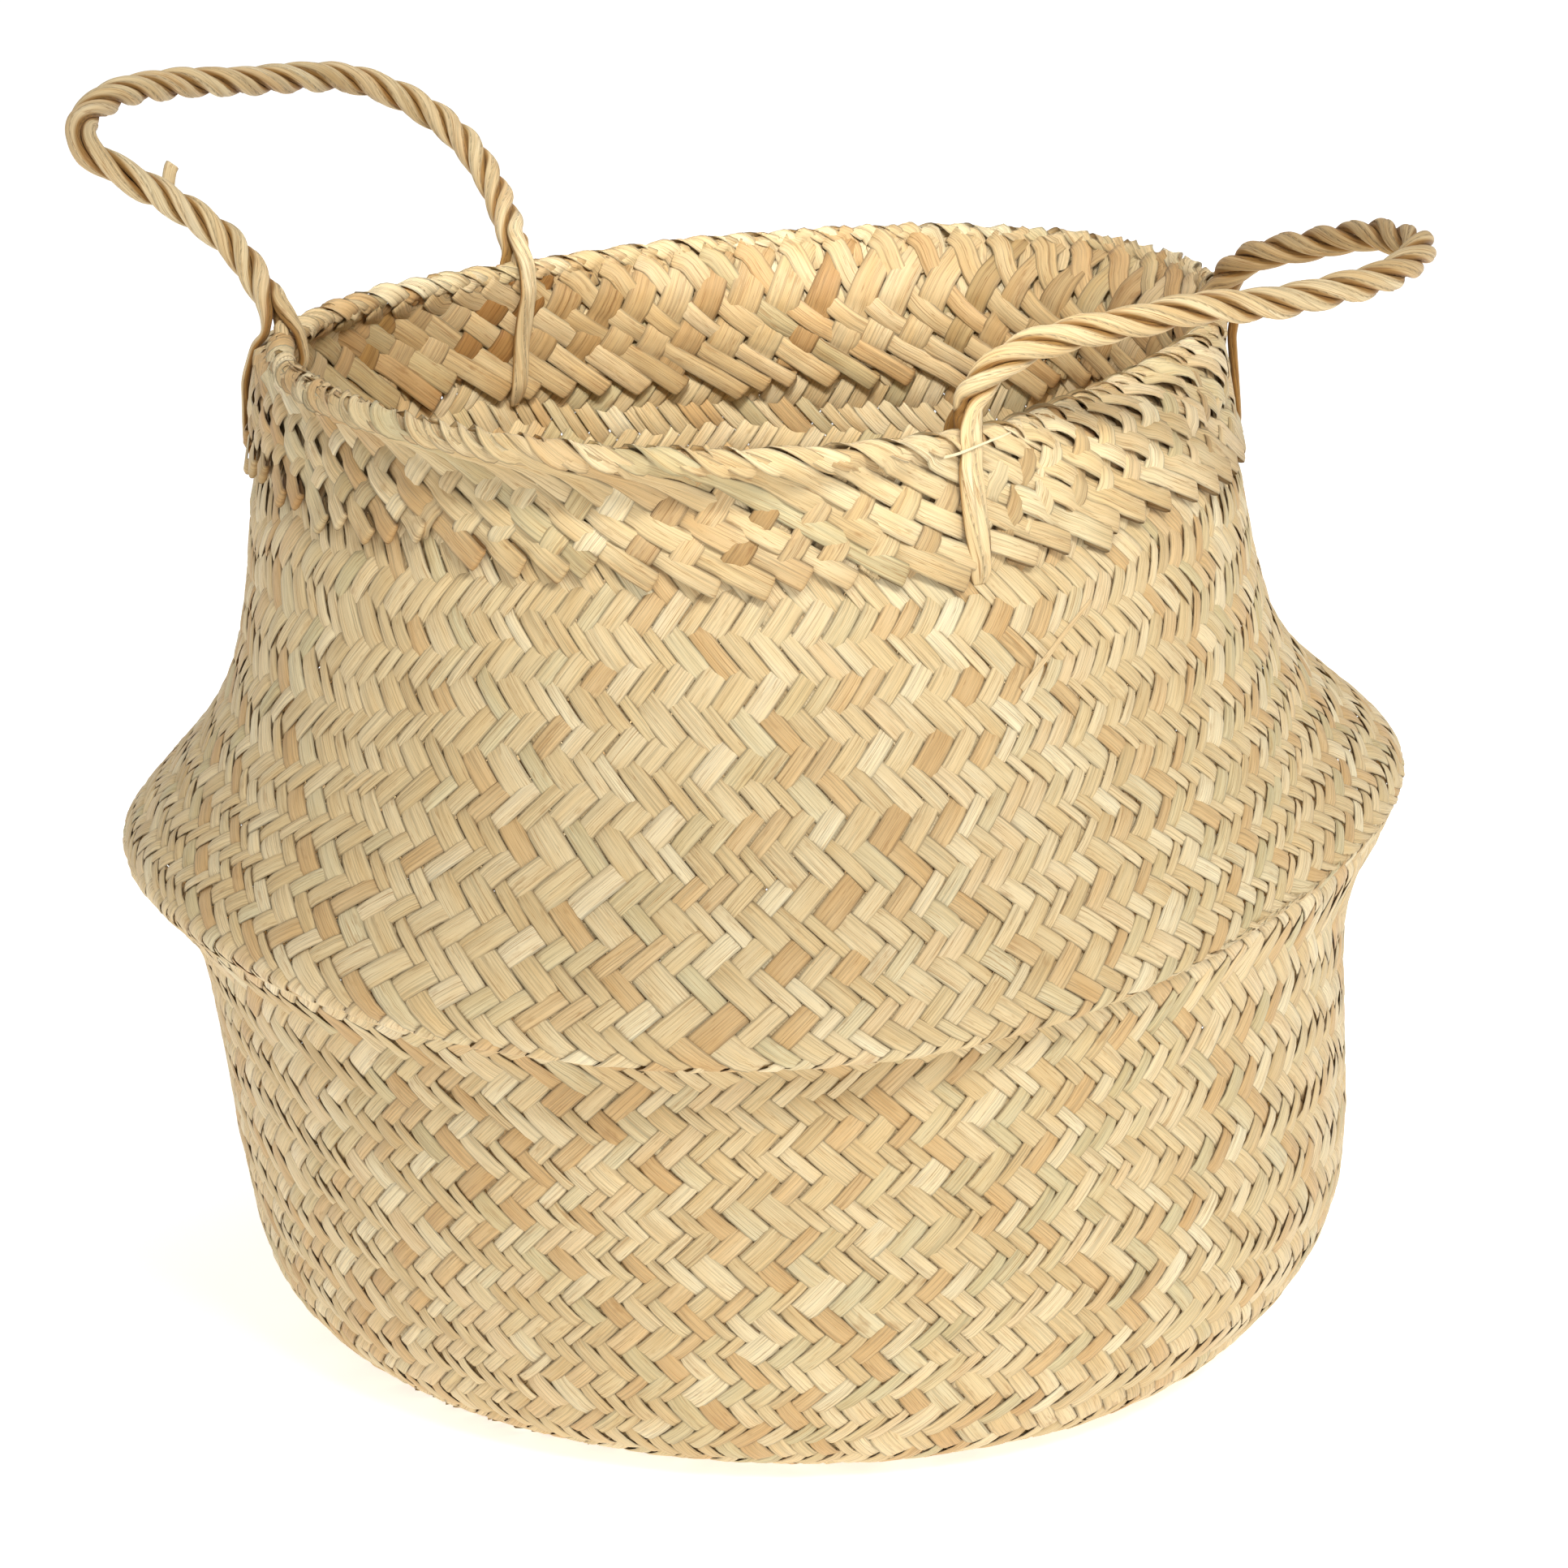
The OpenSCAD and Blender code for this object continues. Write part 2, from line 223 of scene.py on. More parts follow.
def strip(points, out, half, thick, crown, number, roll=0.0, dark=0.0, edges=None):
    """Corner points, strip coordinates and faces of one flat strip, in millimetres.
    edges holds the points of its two borders, where it hugs a curved wall."""
    t = tangents(points)
    side = unit(np.cross(t, out))
    out = np.cross(side, t)
    roll = np.broadcast_to(roll, len(points))[:, None]
    side, out = side * np.cos(roll) + out * np.sin(roll), out * np.cos(roll) - side * np.sin(roll)
    half = np.broadcast_to(half, len(points))[:, None, None]
    left, right = -side * half[:, 0], side * half[:, 0]
    if edges is not None:
        lift_edge = out * np.sin(roll) * half[:, 0]
        left, right = edges[0] - points - lift_edge, edges[1] - points + lift_edge
    reach = np.where(ACROSS[None, :, None] < 0, left[:, None, :], right[:, None, :])
    reach = reach * np.abs(ACROSS)[None, :, None]
    lift = np.where(OUTWARD > 0, crown, thick / 2) * OUTWARD
    lift = np.where(OUTWARD == 1, thick / 2 + crown, lift)
    corners = points[:, None, :] + reach + out[:, None, :] * lift[None, :, None]
    travel = np.concatenate([[0], np.cumsum(np.linalg.norm(np.diff(points, axis=0), axis=1))])
    marks = np.stack([
        half[:, :, 0] * ACROSS[None, :],
        np.repeat(travel[:, None], 6, 1),
        np.full((len(points), 6), number),
        # The last two: how near the border each corner is, from which the finish paints shade along the
        # borders, and how much darker the straw is coloured, painted shade in some places.
        np.repeat(np.abs(ACROSS)[None, :], len(points), 0),
        np.repeat(np.broadcast_to(dark, len(points))[:, None], 6, 1),
    ], 2)
    n = len(points)
    k = np.arange(n - 1)[:, None] * 6
    j = np.arange(6)[None, :]
    following = (j + 1) % 6
    faces = np.stack([k + j, k + following, k + 6 + following, k + 6 + j], 2).reshape(-1, 4)
    cap = (n - 1) * 6
    near = np.array([[3, 2, 1, 0], [5, 4, 3, 0]])
    far = cap + np.array([[0, 1, 2, 3], [0, 3, 4, 5]])
    return corners.reshape(-1, 3), marks.reshape(-1, 5), np.vstack([faces, near, far])


def build_mesh(name, parts, material, sharp_edges=True):
    """One object from many strips."""
    points = np.vstack([p[0] for p in parts]) * MM
    marks = np.vstack([p[1] for p in parts])
    starts = np.cumsum([0] + [len(p[0]) for p in parts[:-1]])
    faces = np.vstack([p[2] + s for p, s in zip(parts, starts)])
    mesh = bpy.data.meshes.new(name)
    mesh.vertices.add(len(points))
    mesh.vertices.foreach_set("co", points.astype(np.float32).ravel())
    mesh.loops.add(faces.size)
    mesh.loops.foreach_set("vertex_index", faces.astype(np.int32).ravel())
    mesh.polygons.add(len(faces))
    mesh.polygons.foreach_set("loop_start", np.arange(0, faces.size, 4, dtype=np.int32))
    mesh.polygons.foreach_set("use_smooth", np.ones(len(faces), bool))
    mesh.update(calc_edges=True)
    mesh.validate()
    straw = mesh.attributes.new("straw", "FLOAT_VECTOR", "POINT")
    straw.data.foreach_set("vector", marks[:, :3].astype(np.float32).ravel())
    # Painted shade along the strips' borders, and the darkening mark, which holds painted shade in places.
    painted_shade_and_tone = mesh.attributes.new("painted_shade_and_tone", "FLOAT_VECTOR", "POINT")
    painted_shade_and_tone.data.foreach_set("vector", np.pad(marks[:, 3:], ((0, 0), (0, 1))).astype(np.float32).ravel())
    if sharp_edges:
        ends = np.empty(len(mesh.edges) * 2, np.int32)
        mesh.edges.foreach_get("vertices", ends)
        corner = ends.reshape(-1, 2) % 6
        border = (corner[:, 0] == corner[:, 1]) & np.isin(corner[:, 0], (0, 3))
        mesh.edges.foreach_set("use_edge_sharp", border)
    mesh.materials.append(material)
    piece = bpy.data.objects.new(name, mesh)
    bpy.context.scene.collection.objects.link(piece)
    print(name, len(mesh.vertices), "points", len(mesh.polygons), "faces")
    return piece


def wander(count, step, amount):
    """A slow random sway: amount is its usual size, step how many points one bend takes."""
    knots = rng.normal(0, amount, int(count / step) + 3)
    return np.interp(np.arange(count), np.arange(len(knots)) * step, knots)

# %% [markdown]
# ## The straw finish
# Dried seagrass is a bundle of long fibres: pale straw, with fine darker lines along the
# strip, some brown or green blotches, and no two strips alike. A printed pattern would repeat, so
# the finish is worked out from the strip's own coordinates. Noise that is stretched a
# lot along the strip gives the fibres. The strip's number picks its colour.

# %% The straw finish
def linear(r, g, b):
    return tuple(((c / 255 + 0.055) / 1.055) ** 2.4 if c > 10 else c / 3295 for c in (r, g, b)) + (1,)


STRAW_COLOURS = [
    (0.00, (236, 222, 184)), (0.10, (226, 206, 163)), (0.22, (219, 196, 149)), (0.34, (232, 213, 171)),
    (0.46, (211, 187, 140)), (0.57, (225, 203, 157)), (0.67, (205, 191, 147)), (0.77, (234, 217, 178)),
    (0.86, (216, 186, 136)), (0.94, (207, 174, 123)), (1.00, (226, 205, 161)),
]


APART = 431.0         # how far apart the noise of two strips is read


def straw_finish(name, colours, depth=1.0, shade=(160, 116, 62), fibre=1.0, gloss=0.6):
    material = bpy.data.materials.new(name)
    material.use_nodes = True
    nodes, links = material.node_tree.nodes, material.node_tree.links
    shader = nodes["Principled BSDF"]
    shader.inputs["Roughness"].default_value = gloss
    shader.inputs["Specular IOR Level"].default_value = 0.35
    shader.inputs["Sheen Weight"].default_value = 0.06

    def node(kind, **settings):
        made = nodes.new(kind)
        for key, value in settings.items():
            setattr(made, key, value)
        return made

    def maths(operation, first, second):
        made = node("ShaderNodeMath", operation=operation)
        for socket, value in zip(made.inputs, (first, second)):
            if isinstance(value, (int, float)):
                socket.default_value = value
            else:
                links.new(value, socket)
        return made.outputs[0]

    def noise(across, length, detail, roughness=0.55):
        """Noise over the strip: how many cells to a millimetre across and along it."""
        place = node("ShaderNodeCombineXYZ")
        links.new(maths("MULTIPLY", mark.outputs["X"], across), place.inputs["X"])
        links.new(maths("MULTIPLY", mark.outputs["Y"], length), place.inputs["Y"])
        links.new(maths("MULTIPLY", mark.outputs["Z"], APART), place.inputs["Z"])
        made = node("ShaderNodeTexNoise", noise_dimensions="3D")
        made.inputs["Scale"].default_value = 1.0
        made.inputs["Detail"].default_value = detail
        made.inputs["Roughness"].default_value = roughness
        links.new(place.outputs[0], made.inputs["Vector"])
        return made.outputs["Fac"]

    def ramp(source, stops):
        made = node("ShaderNodeValToRGB")
        links.new(source, made.inputs["Fac"])
        bar = made.color_ramp.elements
        while len(bar) < len(stops):
            bar.new(0.5)
        for element, (position, colour) in zip(bar, stops):
            element.position = position
            element.color = colour
        return made.outputs["Color"]

    def mix(how, amount, first, second):
        made = node("ShaderNodeMix", data_type="RGBA", blend_type=how)
        for socket, value in ((made.inputs[0], amount), (made.inputs[6], first), (made.inputs[7], second)):
            if isinstance(value, (int, float, tuple)):
                socket.default_value = value
            else:
                links.new(value, socket)
        return made.outputs[2]

    def grey(x):
        return (x, x, x, 1)

    source = node("ShaderNodeAttribute", attribute_name="straw", attribute_type="GEOMETRY")
    mark = node("ShaderNodeSeparateXYZ")
    links.new(source.outputs["Vector"], mark.inputs[0])
    shade_and_tone_attribute = node("ShaderNodeAttribute", attribute_name="painted_shade_and_tone", attribute_type="GEOMETRY")
    shade_and_tone_mark = node("ShaderNodeSeparateXYZ")
    links.new(shade_and_tone_attribute.outputs["Vector"], shade_and_tone_mark.inputs[0])
    own = ramp(mark.outputs["Z"], [(p, linear(*c)) for p, c in colours])
    patches = ramp(noise(0.22, 0.055, 2), [(0.30, grey(0)), (0.72, grey(1))])
    tone = mix("MULTIPLY", maths("MULTIPLY", patches, 0.45 * depth), own, linear(236, 212, 172))
    fibres = noise(3.0 * fibre, 0.04, 4, 0.65)
    bands = ramp(fibres, [(0.32, grey(0.66)), (0.50, grey(1.0)), (0.68, grey(1.12))])
    tone = mix("MULTIPLY", 1.0, tone, bands)
    cracks = ramp(noise(1.5 * fibre, 0.022, 2), [(0.484, grey(0)), (0.5, grey(1)), (0.516, grey(0))])
    lines = ramp(noise(3.6 * fibre, 0.03, 3, 0.6), [(0.32, grey(1)), (0.38, grey(0))])
    tone = mix("MIX", maths("MULTIPLY", lines, 0.60 * depth), tone, linear(*shade))
    tone = mix("MIX", maths("MULTIPLY", cracks, 0.62 * depth), tone, linear(*shade))
    stains = ramp(noise(0.35, 0.11, 3, 0.6), [(0.62, grey(0)), (0.76, grey(1))])
    tone = mix("MIX", maths("MULTIPLY", stains, 0.5 * depth), tone, linear(*shade))
    # Painted shade: darker towards each strip's borders and each pleat's edge, where strips meet.
    border = ramp(shade_and_tone_mark.outputs["X"], [(0.80, grey(1)), (0.99, grey(0.52))])
    tone = mix("MULTIPLY", 1.0, tone, border)
    # Darkening mark: painted shade on the band's inner face and in the rope grooves, and a darker colour in
    # other places.
    tone = mix("MULTIPLY", shade_and_tone_mark.outputs["Y"], tone, linear(184, 156, 110))
    links.new(tone, shader.inputs["Base Color"])
    bump = node("ShaderNodeBump")
    bump.inputs["Strength"].default_value = 0.7
    bump.inputs["Distance"].default_value = 0.00025
    links.new(fibres, bump.inputs["Height"])
    links.new(bump.outputs[0], shader.inputs["Normal"])
    return material


wall_straw = straw_finish("wall_straw", STRAW_COLOURS)
band_straw = straw_finish("band_straw", STRAW_COLOURS, depth=1.15, fibre=0.8)
rope_straw = straw_finish("rope_straw", STRAW_COLOURS, depth=1.3, fibre=0.75, gloss=0.55)

# %% [markdown]
# ## The plait
# Two families of strips wind up the wall, one leaning right and one leaning left. Each
# goes over two and under two, and each row starts one strip later, which makes the
# herringbone rows. All strips are equally wide all the way up, so they must lie flatter
# where the basket is wide and stand steeper at the neck. That one rule gives their
# lean at every height, and the lean gives how far round each strip has wound.

# %% How the strips wind
STRIPS = 136          # strips leaning each way; a multiple of four, so the rows close
STRIP_W = 4.85        # usual width of one strip
STRIP_T = 0.42        # thickness of one strip
LIFT = 0.55           # how far a strip goes out and in as it passes over and under
CROWN = 0.07          # how far a strip's face swells between its borders
STEEPEST = 0.94       # sine of the steepest lean a strip may have
places = np.linspace(0, RIM, 1601)
mean_ring = along(RINGS, places)
step_up = np.hypot(np.diff(mean_ring[:, 0]), np.diff(mean_ring[:, 1]))
lean_sine = np.minimum(STRIPS * STRIP_W / (TURN * mean_ring[:, 0]), STEEPEST)
wound_step = np.sqrt(1 - lean_sine ** 2) / lean_sine / mean_ring[:, 0]
wound = np.concatenate([[0], np.cumsum(step_up * (wound_step[1:] + wound_step[:-1]) / 2)])
run_up = np.concatenate([[0], np.cumsum(step_up)])
print("strips lean", np.round(np.degrees(np.arcsin(lean_sine[[800, 1000, 1400]]))), "degrees;",
      "wall is", round(float(run_up[-1])), "mm long, each strip winds", round(float(wound[-1]), 2), "rad")


def strip_middles(shares):
    """Angle of every strip's middle at the floor, as a table over many turns."""
    edge = np.concatenate([[0], np.cumsum(shares)]) * TURN / np.sum(shares)
    middle = (edge[1:] + edge[:-1]) / 2
    count = np.arange(-2 * STRIPS, 4 * STRIPS)
    return count, middle[count % STRIPS] + TURN * (count // STRIPS)


right_share = np.clip(rng.normal(1, 0.25, STRIPS), 0.55, 1.55)
left_share = np.clip(rng.normal(1, 0.25, STRIPS), 0.55, 1.55)
right_count, right_angle = strip_middles(right_share)
left_count, left_angle = strip_middles(left_share)
PASSES = np.array([-0.42, -0.1, 0.5, 1.1, 1.42, 1.70, 2.5, 3.30])


def over_under(x):
    """+1 over two strips, -1 under the next two; x counts crossed strips."""
    return np.tanh(2.2 * np.cos(math.pi / 2 * (x - 0.5))) / math.tanh(2.2)


def wall_middle(v):
    """Depth of the middle of the plait: it steps in below the rim band."""
    return -WALL_T / 2 - BAND_T * np.clip((v - 6.56) / 0.13, 0, 1)


def smooth(rows, passes):
    rows = rows.copy()
    for _ in range(passes):
        rows[1:-1] = (rows[:-2] + 2 * rows[1:-1] + rows[2:]) / 4
    return rows


def plait_strip(k, leans_right, number, top=RIM - 0.1):
    others_count, others_angle = (left_count, left_angle) if leans_right else (right_count, right_angle)
    own_angle = (right_angle if leans_right else left_angle)[2 * STRIPS + k]
    share = (right_share if leans_right else left_share)[k]
    shift = 0 if leans_right else 2
    x = (np.arange(-1, 40)[:, None] * 4 + (PASSES + shift)[None, :]).ravel()
    if leans_right:
        turned = (np.interp(k + x, others_count, others_angle) - own_angle) / 2
    else:
        turned = (own_angle - np.interp(k - x, others_count, others_angle)) / 2
    end = np.interp(top, places, wound)
    first, last = np.argmax(turned > 0) - 1, np.argmax(turned > end)
    x, turned = x[first:last + 1], np.clip(turned[first:last + 1], 0, end)
    v = np.interp(turned, wound, places)
    hand = 1 if leans_right else -1
    sway = wander(len(x), 7, 0.22) / np.interp(v, places, mean_ring[:, 0])
    a = own_angle + hand * turned + sway
    wave = over_under(x) * hand
    depth = wall_middle(v) + LIFT * wave * rng.uniform(0.85, 1.2) + wander(len(x), 5, 0.07)
    half = STRIP_W * share / 2 * (0.985 + wander(len(x), 9, 0.035))
    radius, lean = np.interp(v, places, mean_ring[:, 0]), np.interp(v, places, lean_sine)
    edges = []
    for side in (-1, 1):
        edge_run = np.interp(v, places, run_up) - side * hand * half * np.sqrt(1 - lean ** 2)
        edge_angle = a + side * half * lean / radius
        edges.append(wall_point(np.interp(edge_run, run_up, places), edge_angle, depth))
    roll = wander(len(x), 4, 0.07)
    return strip(wall_point(v, a, depth), wall_normal(v, a), half, STRIP_T, CROWN, number, roll, edges=edges)


# %% [markdown]
# ## Four bundles of strips each way
# The strips run on from the floor to the rim in one piece, as real ones do.

# %% Plait the wall
BUNDLES = 4
WALL_NODES = ("base_edge", "lower_wall", "belly_fold", "upper_wall")
for leans_right, word in ((True, "right"), (False, "left")):
    for bundle in range(BUNDLES):
        numbers = range(bundle * STRIPS // BUNDLES, (bundle + 1) * STRIPS // BUNDLES)
        parts = [plait_strip(k, leans_right, rng.uniform()) for k in numbers]
        piece = build_mesh(f"wall_strips_{word}_{bundle + 1}", parts, wall_straw)
        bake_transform(piece)
        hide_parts(*WALL_NODES)

# %% [markdown]
# ## The bottom
# The bottom is plaited first, as a flat square of strips that cross at right angles. The
# same over-two-under-two rule holds. It is cut round here, where the wall's strips start.

# %% Plait the bottom
MAT_R = BASE_R + 0.5
MAT_W = 5.2           # spacing of the bottom's strips
MAT_T = 0.4           # thickness of one
MAT_Z, MAT_LIFT = 1.25, 0.38   # height of the mat's middle, and how far strips rise and dip


def mat_strips(turned):
    parts = []
    rows = int(MAT_R // MAT_W)
    for k in range(-rows, rows + 1):
        offset = k * MAT_W
        reach = math.sqrt(max(MAT_R ** 2 - offset ** 2, 0)) / MAT_W
        shift = 2 if turned else 0
        x = (np.arange(-20, 20)[:, None] * 4 + (PASSES + shift)[None, :]).ravel()
        other = x + k if not turned else k - x
        order = np.argsort(other)
        x, other = x[order], other[order]
        first, last = np.argmax(other > -reach) - 1, np.argmax(other > reach)
        x, other = x[first:last + 1], np.clip(other[first:last + 1], -reach, reach)
        height = MAT_Z + (-1 if turned else 1) * MAT_LIFT * over_under(x)
        run = other * MAT_W
        across = np.full(len(x), offset) + wander(len(x), 9, 0.12)
        points = np.stack([across, run, height] if turned else [run, across, height], 1)
        up = np.tile([0.0, 0.0, 1.0], (len(x), 1))
        parts.append(strip(points, up, MAT_W * 0.49, MAT_T, 0.06, rng.uniform()))
    return parts


for turned, name in ((False, "bottom_strips_across"), (True, "bottom_strips_back")):
    piece = build_mesh(name, mat_strips(turned), wall_straw)
    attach(piece, "base")
    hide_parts("base_mat")

# %% [markdown]
# ## The rim band
# At the top the strips are folded down over the wall, two at a time, so the band is
# coarser than the wall. One family runs down to the right in long floats that start on
# the rolled edge. The other family runs down to the left and shows only as two rows of
# short squares. At the band's lower edge each strip's end is bent back under itself,
# which leaves a row of flat loop tips.

# %% Rim band helpers
OUT, IN = 1, -1                    # the band's two faces
PAIRS = STRIPS // 2
BAND_R = 124.0                     # the rim's usual radius
PITCH = TURN * BAND_R / PAIRS      # distance between neighbouring doubled strips
DOWN_SLOPE, UP_SLOPE = 0.62, 1.5   # slopes of the two families, down for each mm round
ROW = PITCH / (1 / DOWN_SLOPE + 1 / UP_SLOPE)   # how far down one crossing lies below the last
FIRST_ROW = 3.2                    # how far down the first crossing lies
TIP_AT = 31.0                      # how far down the loop tips lie
BAND_STRIP_T = 0.56                # thickness of one of the band's strips
LONG_FLOATS = np.array([1, 1, -1, 1, -1, 1])
PLAIN_WEAVE = np.array([1, -1, 1, -1, 1, 1])


def place_below_rim(down):
    """Place v at a distance in millimetres below the wall's top edge."""
    return np.interp(run_up[-1] - np.asarray(down, float), run_up, places)


def in_plain_part(a):
    """True where the right front of the band is woven one over one."""
    return math.radians(300) < a % TURN < math.radians(344)


def passing(a, rows, is_long, face):
    """Over (+1) or under (-1) for the long family at each row, eased between rows."""
    pattern = PLAIN_WEAVE if face == IN or in_plain_part(a) else LONG_FLOATS
    sign = np.interp(rows, np.arange(6), pattern)
    return np.tanh(3.4 * sign) / math.tanh(3.4) * (1 if is_long else -1)


print("band pitch", round(PITCH, 1), "mm, rows every", round(ROW, 1), "mm")

# %% [markdown]
# ## The band's strips, one by one
# A long strip starts inside, turns over the top edge and runs down the outside to its
# bent tip. A short strip only runs down. An edge strip fills the rolled edge between two
# long ones, and now and then one of them is curled and stands up.

# %% The band's strips
EDGE_R, EDGE_LIFT = 2.6, 1.9       # half width and height of the turn over the top edge
EDGE_REACH = 13.0                  # how far round a strip moves as it turns over
INSIDE_PAINTED_SHADE = 0.30                 # painted shade: the band is coloured darker inside, where the basket's inside lies in shade
TIP_R = 0.8                        # radius of the bend at a strip's tip
CURLED_SHARE = 0.12                # share of the edge's strips that are curled


def band_point(down, a, height, face):
    """A point on the outer or the inner face of the rim, height mm proud of the band."""
    if face == OUT:
        depth = -BAND_T / 2 + height
    else:
        depth = -(BAND_T * 1.5 + WALL_T) - height
    return wall_point(place_below_rim(down), a, depth)


def rim_over(a, top_lift, reach, steps=11):
    """The turn of a strip over the wall's top edge, from inside to outside."""
    around = np.radians(np.linspace(182, -14, steps))
    place = a + np.linspace(-reach, 0, steps) / BAND_R
    normal = wall_normal(np.full(steps, float(RIM)), place)
    up = unit(wall_point(RIM, place) - wall_point(RIM - 0.15, place))
    points = wall_point(RIM, place, CORE) + normal * (EDGE_R * np.cos(around))[:, None]
    points += up * (0.4 + (EDGE_LIFT + top_lift) * np.sin(around))[:, None]
    return points, normal * np.cos(around)[:, None] + up * np.sin(around)[:, None]


def inside_start(a0, depths):
    """The part of a strip inside the rim, before it turns over the edge."""
    depths = np.array(depths, float)
    a = a0 - (EDGE_REACH + depths / DOWN_SLOPE * 0.6) / BAND_R
    return band_point(depths, a, -0.5, IN), -wall_normal(place_below_rim(depths), a)


def bent_tip(body, out):
    """The flat loop at a strip's lower end: it bends in and runs back up under itself."""
    ahead, last_out = unit(body[-1] - body[-3]), out[-1]
    bend = np.radians(np.linspace(25, 180, 6))
    curl = body[-1] + np.outer(np.sin(bend), ahead) * TIP_R * 1.2
    curl = curl - np.outer(1 - np.cos(bend), last_out) * TIP_R
    curl_out = np.outer(np.cos(bend), last_out) + np.outer(np.sin(bend), ahead)
    back = curl[-1] - np.outer([1.5, 3.5, 5.5], ahead) - np.outer([0, 0.1, 0.2], last_out)
    return [curl, back], [curl_out, np.tile(-last_out, (3, 1))]


def long_strip(k, face):
    """One strip that runs down to the right and ends in a bent tip."""
    a0 = TURN * k / PAIRS + rng.normal(0, 0.006)
    heading = 1 if face == OUT else -1
    relief = 1.0 if face == OUT else 0.6
    tip = TIP_AT + rng.normal(0, 1.3)
    down = np.arange(1.6 if face == OUT else 0.3, tip, 1.1)
    bow = 1.2 * np.sin(down / 7 + k)
    a = a0 + heading * (down / DOWN_SLOPE + bow) / BAND_R
    over = passing(a0, (down - FIRST_ROW) / ROW, True, face)
    height = relief * (0.66 * over + wander(len(down), 5, 0.15)) + 0.5
    height += np.clip((down - tip + 8) / 8, 0, 1) ** 2 * 1.3 * relief
    height = np.maximum(height, -0.5)
    body = band_point(down, a, height, face)
    out = wall_normal(place_below_rim(down), a) * face
    tip_points, tip_normals = bent_tip(body, out)
    points, normals = [body] + tip_points, [out] + tip_normals
    if face == OUT:
        turn_points, turn_normals = rim_over(a0, rng.uniform(0.0, 1.0), EDGE_REACH)
        start_points, start_normals = inside_start(a0, [6, 3.6, 1.6])
        points = [start_points, turn_points] + points
        normals = [start_normals, turn_normals] + normals
    points, normals = np.vstack(points), unit(np.vstack(normals))
    n = len(points)
    half = np.full(n, np.clip(rng.normal(5.95, 0.45), 5.0, 6.9) / 2) * (1 + wander(n, 6, 0.04))
    roll = wander(n, 6, 0.07)
    if face == OUT:
        half = half * np.interp(np.arange(n), [0, 4, 9, 14, 19], [0.8, 0.92, 1.06, 1.04, 1])
        roll = roll + np.interp(np.arange(n), [0, 8, 14, 22], [0.08, 0.20, 0.15, 0.05])
    # Darker towards the tip, and painted shade on the inner face.
    dark = np.interp(np.arange(n), [n - 14, n - 9, n], [0, 0.35, 0.8]) + (0 if face == OUT else INSIDE_PAINTED_SHADE)
    return strip(points, normals, half, BAND_STRIP_T, 0.08, rng.uniform(), roll, dark)


def short_strip(k, face):
    """One strip that runs down to the left and shows as squares between the long ones."""
    a0 = TURN * (k + 0.35) / PAIRS + rng.normal(0, 0.006)
    heading = -1 if face == OUT else 1
    relief = 1.0 if face == OUT else 0.6
    end = TIP_AT - rng.uniform(1.5, 4.5)
    down = np.arange(1.5 if face == OUT else 0.3, end, 0.9)
    a = a0 + heading * down / UP_SLOPE / BAND_R
    over = passing(a0, (down - FIRST_ROW) / ROW, False, face)
    height = relief * (0.62 * over + wander(len(down), 5, 0.1)) + 0.5
    height = np.maximum(height, -0.6)
    points = band_point(down, a, height, face)
    normals = wall_normal(place_below_rim(down), a) * face
    width = np.clip(rng.normal(6.2, 0.6), 5.2, 7.4) + (0 if face == OUT else 1.6)
    half = width / 2 * (1 + wander(len(down), 6, 0.04))
    # A random darker tone, plus painted shade on the inner face.
    dark = max(rng.normal(0.15, 0.25), 0) + (0 if face == OUT else INSIDE_PAINTED_SHADE)
    return strip(points, normals, half, BAND_STRIP_T, 0.08, rng.uniform(), wander(len(down), 5, 0.06), dark)


def edge_strip(k):
    """One strip of the short family where it turns over the edge, between two long ones."""
    a0 = TURN * (k + 0.5) / PAIRS + rng.normal(0, 0.01)
    curled = rng.uniform() < CURLED_SHARE
    turn_points, turn_normals = rim_over(a0, 1.6 if curled else rng.uniform(-1.0, -0.2), EDGE_REACH)
    start_points, start_normals = inside_start(a0, [5, 3, 1.4])
    down = np.array([1.6, 2.8, 4.2, 5.8, 7.4])
    a = a0 + down / DOWN_SLOPE / BAND_R
    tucked = band_point(down, a, np.array([0.4, 0.1, -0.2, -0.4, -0.6]), OUT)
    points = np.vstack([start_points, turn_points, tucked])
    normals = unit(np.vstack([start_normals, turn_normals, wall_normal(place_below_rim(down), a)]))
    n = len(points)
    half = rng.normal(2.7, 0.35) * (0.6 if curled else 1)
    half = half * np.interp(np.arange(n), [0, 4, 12, n - 1], [0.8, 0.9, 1, 0.75])
    return strip(points, normals, half, 0.5, 0.12, rng.uniform(), 0.18 + wander(n, 5, 0.08), 0.2)


# %% Weave the rim band
edge = build_mesh("rim_edge_strips", [edge_strip(k) for k in range(PAIRS)], band_straw)
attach(edge, "collar")
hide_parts("rim_roll")
for face, word in ((OUT, "outside"), (IN, "inside")):
    strips = [long_strip(k, face) for k in range(PAIRS)]
    long_ones = build_mesh(f"rim_{word}_long_strips", strips, band_straw)
    strips = [short_strip(k, face) for k in range(PAIRS)]
    short_ones = build_mesh(f"rim_{word}_short_strips", strips, band_straw)
    nodes = ("rim_band_outer", "rim_roll") if face == OUT else ("rim_band_inner",)
    for piece in (long_ones, short_ones):
        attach(piece, "collar")
        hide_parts(*nodes)

# %% [markdown]
# ## Twisted ropes
# Each handle is three plies laid round each other, and each ply is itself a bundle of
# flat strips. A plain tube would look like plastic cord. Here the ply's outline has a
# few overlapping pleats that wind slowly along it, and it is pressed flatter towards the
# rope's middle, as the other two plies do. At each end one ply runs down outside the
# band, one inside, and one goes between. The loops' points are the ones of the CAD model.

